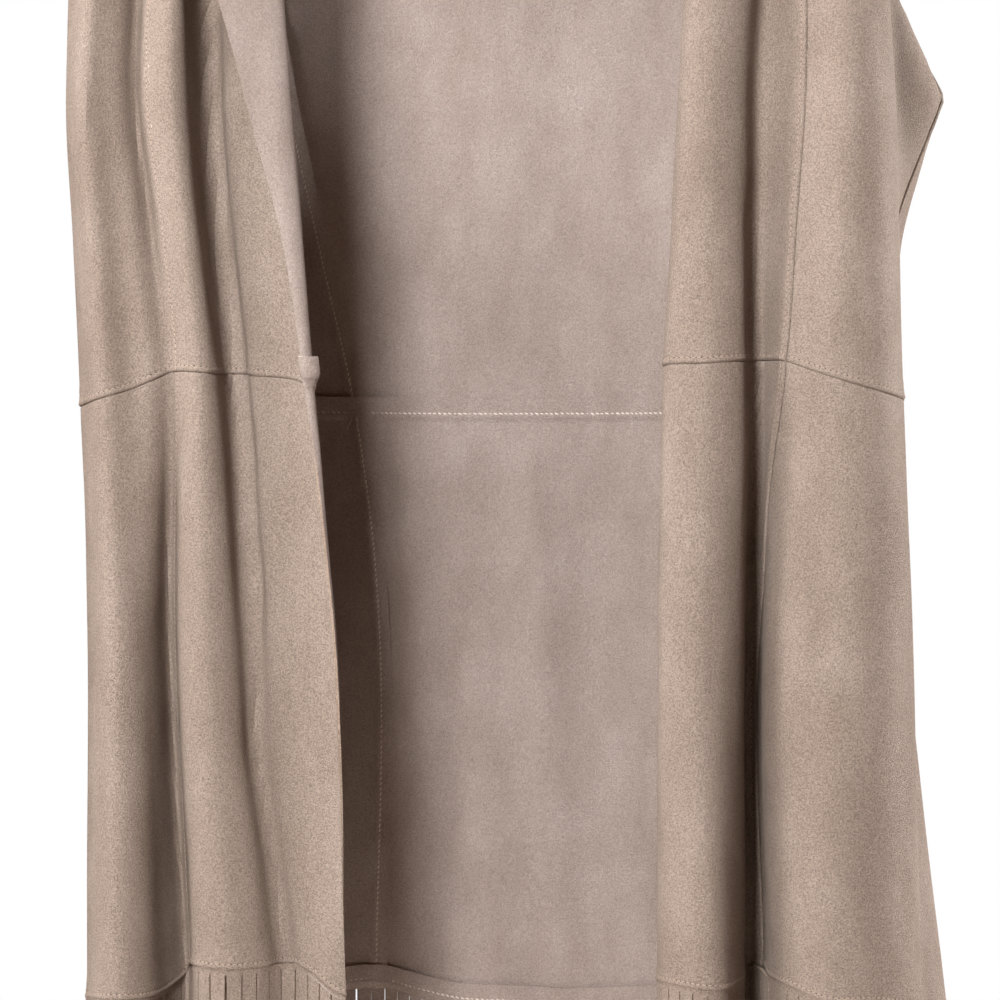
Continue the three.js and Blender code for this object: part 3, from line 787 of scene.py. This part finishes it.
def allowance(panel, edge, width):
    """Middle surface of a strip, from beyond the seam to the free edge."""
    cloth = panel.cloth
    distances = np.array([step for step in STRIP_STEPS if step <= width])
    level = panel.heights[0]
    if edge == "bottom":
        heights, folds = strip_heights(cloth, level, distances), panel.folds[0]
        places = soft_places(cloth, heights, folds)
        if level == HEM:
            below = np.minimum(distances, 0)
            places = places + below[:, None, None] * np.array((0, 0, 1.0))
        distances = distances[:, None]
        run = lengths_along(places[-1:], 1)
    else:
        side = 1 if edge == "first" else -1
        centre = panel.folds[0, 0] if edge == "first" else panel.folds[0, -1]
        if cloth is not back or centre in (0, len(cloth.names) - 1):
            distances = distances[distances >= 0]
        heights = panel.heights
        folds = strip_folds(cloth, heights, centre, side * distances)
        if side < 0:
            distances = distances[::-1]
        places = soft_places(cloth, heights, folds)
        distances = distances[None, :]
        run = lengths_along(places[:, -1:], 0)
    relief = crease_relief(cloth, places) + slack(cloth, places)
    depth = strip_depth(distances, width, run)
    return places + outward(places) * (relief - depth)[..., None]


def strip_heights(cloth, level, distances):
    """Heights that lie the given distances above a level, as a mean over the cloth."""
    near = np.linspace(max(level - 0.3, HEM), level + 0.4, 29)
    middle = np.arange(0.5, len(cloth.names) - 1)
    length = lengths_along(cloth.places(near, middle), 0).mean(axis=1)
    return np.interp(distances, length - np.interp(level, near, length), near)


def strip_folds(cloth, heights, centre, distances):
    """Fold numbers that lie the given distances from one fold line, at each height."""
    last = len(cloth.names) - 1
    near = np.linspace(max(centre - 4, 0), min(centre + 4, last), 193)
    rows = lengths_along(cloth.places(heights, near), 1)
    found = [np.interp(distances, row - np.interp(centre, near, row), near) for row in rows]
    return np.sort(found, axis=1)


strips = {}
for name, panel in panels.items():
    strips[name] = []
    for edge, kind in panel.kinds.items():
        if kind == "sewn":
            width = ALLOWANCE if edge == "bottom" else UPRIGHT_ALLOWANCE
            strip = lay_grid(f"allowance_{name}_{edge}", allowance(panel, edge, width))
            strips[name].append(thicken(strip, STRIP_THICKNESS, STRIP_FINISHES))
print("allowance strips:", sum(map(len, strips.values())))

# %% [markdown]
# ## Stitches
#
# The topstitch is a row of short thread loops about 3 mm long. Outside they are sunk into
# the nap, and what shows is mostly the dark needle hole between each pair of loops, drawn
# as a small ball of painted shade. Inside, the paler bobbin thread lies on top and each loop
# slants a little. One small sphere is modelled for a loop and copied along every line, and
# all the copies of a panel are one mesh, so there is no need for thousands of objects.

# %% One stitch
deselect()
bpy.ops.mesh.primitive_uv_sphere_add(segments=6, ring_count=5, radius=1)
ball = bpy.context.object
ball_points = np.array([vertex.co for vertex in ball.data.vertices])
ball_faces = [list(face.vertices) for face in ball.data.polygons]
bpy.ops.object.delete()
print("faces in a stitch:", len(ball_faces))

# half sizes across the seam, out of the cloth and along the seam, and how far the middle of
# a mark lies above or below the face of the cloth
LOOP = np.array((0.34, 0.34, 1.15))
# the hole mark is a dark ball of painted shade, sunk just below the face
HOLE_SHADE_SIZE = np.array((0.42, 0.3, 0.5))
INNER_LOOP = np.array((0.58, 0.5, 1.5))
SLANT = 0.42
OFF_FACE = 0.05


# %% Stitch rows
def marks(point, normal, depth, shift, slant=0.0):
    """Places and directions of marks at even steps along a line, moved out by a depth."""
    run = np.concatenate([[0], np.cumsum(np.linalg.norm(np.diff(point, axis=0), axis=1))])
    at = np.arange(STITCH_PITCH * (0.5 + shift), run[-1] - STITCH_PITCH / 2, STITCH_PITCH)

    def follow(values, where):
        return np.stack([np.interp(where, run, values[:, axis]) for axis in range(3)], axis=1)

    across = follow(normal, at)
    across /= np.linalg.norm(across, axis=1, keepdims=True)
    ahead = follow(point, at + 0.5) - follow(point, at - 0.5)
    ahead /= np.linalg.norm(ahead, axis=1, keepdims=True)
    side = np.cross(across, ahead)
    turned = ahead * np.cos(slant) + side * np.sin(slant)
    return follow(point, at) + across * depth, np.cross(across, turned), across, turned


def scattered(name, rows, finish):
    """One mesh of many small balls: each row gives their size and their places."""
    points = []
    for size, (centre, side, across, ahead) in rows:
        frame_of_each = np.stack([side, across, ahead], axis=1)
        points.append(centre[:, None] + (ball_points * size) @ frame_of_each)
    points = np.concatenate(points)
    starts = np.arange(len(points)) * len(ball_points)
    faces = [[start + index for index in face] for start in starts for face in ball_faces]
    mesh = bpy.data.meshes.new(name)
    mesh.from_pydata((points.reshape(-1, 3) * MM).tolist(), [], faces)
    piece = placed(name, mesh)
    piece.data.materials.append(finish)
    choose_only(piece)
    bpy.ops.object.shade_smooth()
    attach(piece, "root")
    return piece


sewing = {}
inner_depth = WALL / 2 + STRIP_THICKNESS - OFF_FACE
for name, panel in panels.items():
    outer, hole_shades, inner = [], [], []
    for edge, kind in panel.kinds.items():
        if kind == "sewn":
            line = panel.line_at(edge, STITCH_LINE)
            outer.append((LOOP, marks(*line, WALL / 2 + OFF_FACE, 0.0)))
            # painted shade: one dark ball in each needle hole, half a pitch from the loops
            hole_shades.append((HOLE_SHADE_SIZE, marks(*line, WALL / 2 - OFF_FACE, 0.5)))
            inner.append((INNER_LOOP, marks(*line, -inner_depth, 0.0, SLANT)))
    sewing[name] = [
        scattered(f"topstitch_{name}", outer, THREAD),
        scattered(f"needle_hole_shade_{name}", hole_shades, HOLE_SHADE),
        scattered(f"bobbin_stitch_{name}", inner, BOBBIN_THREAD),
    ]
print("stitch pieces:", sum(map(len, sewing.values())))

# %% [markdown]
# ## The fringe
#
# Each band is one strip with slits cut from its lower edge nearly up to the seam. So it is
# made as one grid with columns at the slits, and the faces in the slits are then deleted
# in edit mode. The strands hang straight down from the folds of the hem, and each one
# twists and narrows a little differently.

# %% Fringe bands
STRAND_PITCH = 9
SLIT = 0.9
ROOT = 3.2
SEAM_GAP = 0.1
FRINGE_LENGTH = 150
FALLS = np.array([SEAM_GAP, 0.8, 1.8, ROOT, 9, 18, 30, 45, 62, 80, 98, 115, 132, 142, FRINGE_LENGTH])


def fringe_places(cloth, start, end, seed):
    """Places of a band's grid, three columns to a strand, and the number of strands."""
    random = np.random.default_rng(seed)
    folds = np.linspace(start, end, (end - start) * DENSE * 2 + 1)
    run = lengths_along(soft_places(cloth, HEM, folds), 1)[0]
    count = int(round(run[-1] / STRAND_PITCH))
    pitch = run[-1] / count
    edges = np.arange(count) * pitch
    columns = np.stack([edges + SLIT / 2, edges + pitch / 2, edges + pitch - SLIT / 2], axis=1)
    columns[0, 0], columns[-1, -1] = SEAM_GAP, run[-1] - SEAM_GAP
    top = soft_places(cloth, HEM, np.interp(columns.ravel(), run, folds))[0]
    along = np.gradient(top, axis=0)
    along[:, 2] = 0
    along /= np.linalg.norm(along, axis=1, keepdims=True)
    normal = np.cross((0, 0, 1.0), along)
    width = np.tile([-1.0, 0.0, 1.0], count) * (pitch - SLIT) / 2
    twist = np.repeat(random.uniform(-0.30, 0.30, count), 3)
    taper = np.repeat(random.uniform(0.10, 0.20, count), 3)
    drift = np.repeat(random.uniform(-0.6, 0.6, count), 3)
    cup = np.repeat(random.uniform(0.0, 0.5, count), 3)
    places = []
    for fall in FALLS:
        share = max(0, fall - ROOT) / (FRINGE_LENGTH - ROOT)
        narrow = width * taper * min(1, share * 1.6)
        middle = 1 - np.abs(np.sign(width))
        out = width * np.sin(twist * share) + cup * middle * min(1, share * 4) + drift * share
        out = out - 0.5 * bell(fall, 0, 1.2)
        place = top - along * narrow[:, None] - normal * out[:, None]
        places.append(place - np.array((0, 0, fall)))
    return np.stack(places[::-1]), count


bands = {}
strands = 0
for number, (title, (cloth, first, last, *_)) in enumerate(CUTS.items()):
    name = "fringe_" + title.replace("_{}", "")
    places, count = fringe_places(cloth, cloth.names.index(first), cloth.names.index(last), number)
    strands += count
    piece = lay_grid(f"cut_{name}", places)
    rows, columns = places.shape[:2]
    root_row = rows - 1 - list(FALLS).index(ROOT)
    for index, face in enumerate(piece.data.polygons):
        row, column = divmod(index, columns - 1)
        face.select = row < root_row and column % 3 == 2
    bpy.ops.object.mode_set(mode="EDIT")
    bpy.ops.mesh.delete(type="FACE")
    bpy.ops.object.mode_set(mode="OBJECT")
    bands[title] = thicken(piece, WALL, FINISHES)
    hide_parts(name)
print("strands:", strands)

# %% [markdown]
# ## Loose ends
#
# Where the waist seam meets the turned edge of the right front, the end of its allowance
# isn't sewn down and stands off as a small loop. Its cut edge is painted much paler than
# the suede, as painted highlight for the light along that edge. Two threads have been pulled
# out of the princess seam, and two tails were left where the back's seams cross. The loop is
# a patch of the panel's own surface moved inwards, and the threads are short curves turned
# into meshes, so they follow the cloth that they are sewn to.

# %% Loop at the right front's edge
LOOP_WIDTH = 8
LOOP_BULGE = 3.2
LOOP_THICKNESS = 1.0
LOOP_GAP = 0.7
LOOP_FINISHES = [SUEDE_INSIDE, SUEDE_INSIDE, PAINTED_EDGE_HIGHLIGHT]
LOOP_HEIGHTS = np.linspace(0.4, 17, 12)

panel = panels["front_centre_upper_right"]
across = SEAM_STEPS[SEAM_STEPS <= LOOP_WIDTH]
depth = WALL / 2 + STRIP_THICKNESS + LOOP_GAP + LOOP_BULGE * np.sin(np.pi * across / LOOP_WIDTH)
rows = []
for height in LOOP_HEIGHTS:
    point, normal = panel.line_at("bottom", height)
    leaning = depth * fade(height, -6, 9)
    rows.append(point[: len(across)] - normal[: len(across)] * leaning[:, None])
loop = thicken(lay_grid("loop_at_waist", np.stack(rows)), LOOP_THICKNESS, LOOP_FINISHES)
print("loop:", round(LOOP_HEIGHTS[-1]), "mm high")


# %% Threads
THREAD_RADIUS = 0.16


def loose_thread(name, start, steps):
    """A thread that leaves the cloth at one place and goes on by the given steps."""
    data = bpy.data.curves.new(name, "CURVE")
    data.dimensions = "3D"
    data.bevel_depth = THREAD_RADIUS * MM
    data.bevel_resolution = 1
    data.use_fill_caps = True
    path = data.splines.new("NURBS")
    path.points.add(len(steps) - 1)
    for target, step in zip(path.points, steps):
        target.co = (*((start + np.array(step)) * MM), 1)
    path.order_u = 3
    path.use_endpoint_u = True
    thread = placed(name, data)
    thread.data.materials.append(BOBBIN_THREAD)
    choose_only(thread)
    bpy.ops.object.convert(target="MESH")
    bpy.ops.object.shade_smooth()
    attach(thread, "root")
    return thread


# heights of the pulled threads, and the steps of each thread from where it leaves the cloth
PULLED_AT = (-213, -249)
PULLED_LOOP = ((0, 0.6, 0), (0.6, -1.0, 0.8), (1.6, -1.6, 0), (0.9, -1.2, -1.0), (0.2, 0.6, -0.6))
TAILS = (
    ((0, 0.6, 0), (-0.6, -1.6, -2), (-2.8, -3.4, -5), (-4.6, -4.0, -9.5)),
    ((0, 0.6, 0), (1.0, -1.8, -1), (2.2, -3.0, -5), (1.2, -3.6, -8.5), (2.6, -4.0, -11)),
)
point, _ = panels["front_centre_upper_right"].line_at("last", STITCH_LINE)
pulled = []
for number, height in enumerate(PULLED_AT, 1):
    start = point[np.argmin(np.abs(point[:, 2] - height))] - np.array((0, WALL / 2, 0))
    pulled.append(loose_thread(f"pulled_thread_{number}", start, PULLED_LOOP))
point, normal = panels["back_centre_upper"].line_at("first", STITCH_LINE)
start = point[1] - normal[1] * (WALL / 2 + STRIP_THICKNESS)
tails = [loose_thread(f"thread_tail_{n}", start, steps) for n, steps in enumerate(TAILS, 1)]
details = {"front_centre_upper_right": [loop, *pulled], "back_centre_upper": tails}
print("threads:", len(pulled) + len(tails))

# %% [markdown]
# ## Cloth sizes
#
# For every panel the pieces sewn on it are gathered in a list, and its flat cut size is
# rounded to metres; neither is used further.

# %% Sheets
for title in CUTS:
    for part in ("upper", "lower"):
        name = title.format(part)
        panel = panels[name]
        extra = [*strips[name], *sewing[name], *details.get(name, [])]
        if part == "lower":
            extra.append(bands[title])
        tuple(round(size * MM, 3) for size in panel.size)

# %% [markdown]
# ## Lights
#
# The main light is small and round, a little to the left of the eye, so that the right
# front shades the nearby side of the back and each roll shades the valley beside it. Side
# lights from the left and right pick out the two outer edges, and one behind shows the
# back. The room adds very little, which keeps the folds deep, and that little is warm, like
# light that has gone from fold to fold.

# %% Light table
ROOM_LIGHT = 0.08
ROOM_COLOUR = (1, 0.40, 0.14, 1)
LIGHTS = (
    # name, degrees round from the front, degrees up, distance, size in metres, watts
    ("key", -12, 24, 2.2, 0.5, 84),
    ("left", -66, 28, 2.2, 0.8, 46),
    ("right", 90, 10, 2.2, 0.8, 26),
    ("rim", 125, 10, 2.2, 0.8, 85),
    ("back", 190, 8, 2.2, 0.8, 40),
)

# %% [markdown]
# ## Floor, light and camera
#
# A pale floor lies well below the fringe, and the camera stands a little to the right of
# the front, level with the waist. The world is white where the camera sees it, and gives
# the vest only the room's warm light.

# %% Stage
FLOOR_Z = -1.25
FLOOR_RADIUS = 0.9
FLOOR_COLOUR = (0.56, 0.49, 0.43, 1)

deselect()
bpy.ops.mesh.primitive_circle_add(
    vertices=64, radius=FLOOR_RADIUS, fill_type="NGON", location=(0, 0, FLOOR_Z),
)
floor = bpy.context.object
floor.name = "floor"
floor_finish = bpy.data.materials.new("pale_floor")
floor_finish.use_nodes = True
floor_shader = floor_finish.node_tree.nodes["Principled BSDF"]
floor_shader.inputs["Base Color"].default_value = FLOOR_COLOUR
floor.data.materials.append(floor_finish)
print("floor at", FLOOR_Z, "m")

# %% White room
scene = bpy.context.scene
scene.view_settings.view_transform = "Standard"
world = bpy.data.worlds.new("white_room")
scene.world = world
world.use_nodes = True
nodes, links = world.node_tree.nodes, world.node_tree.links
room = nodes["Background"]
room.inputs["Color"].default_value = ROOM_COLOUR
room.inputs["Strength"].default_value = ROOM_LIGHT
seen = nodes.new("ShaderNodeBackground")
seen.inputs["Color"].default_value = (1, 1, 1, 1)
seen.inputs["Strength"].default_value = 1.0
rays = nodes.new("ShaderNodeLightPath")
choose = nodes.new("ShaderNodeMixShader")
links.new(rays.outputs["Is Camera Ray"], choose.inputs["Fac"])
links.new(room.outputs["Background"], choose.inputs[1])
links.new(seen.outputs["Background"], choose.inputs[2])
links.new(choose.outputs["Shader"], nodes["World Output"].inputs["Surface"])
print("room light:", ROOM_LIGHT)


# %% Lamps
VEST_MIDDLE = -0.45


def soft_light(name, around, above, distance, size, energy):
    """A round soft light, placed by its angles as seen from the middle of the vest."""
    data = bpy.data.lights.new(name, "AREA")
    data.shape = "DISK"
    data.size = size
    data.energy = energy
    light = placed(name, data)
    around, above = np.radians(around), np.radians(above)
    flat = distance * np.cos(above)
    height = VEST_MIDDLE + distance * np.sin(above)
    light.location = (flat * np.sin(around), -flat * np.cos(around), height)
    light.rotation_euler = (np.pi / 2 - above, 0, around)


for light in LIGHTS:
    soft_light(*light)
print("lights:", [light[0] for light in LIGHTS])

# %% Camera
CAMERA_TURN = np.radians(5)
CAMERA_DISTANCE = 1.795
CAMERA_HEIGHT = -0.459
SENSOR_WIDTH = 36
LENS = 109.3

camera_data = bpy.data.cameras.new("camera")
camera_data.sensor_width = SENSOR_WIDTH
camera_data.lens = LENS
camera = placed("camera", camera_data)
camera.location = (
    CAMERA_DISTANCE * np.sin(CAMERA_TURN),
    -CAMERA_DISTANCE * np.cos(CAMERA_TURN),
    CAMERA_HEIGHT,
)
camera.rotation_euler = (np.radians(90), 0, CAMERA_TURN)
scene.camera = camera
print("camera lens:", LENS)
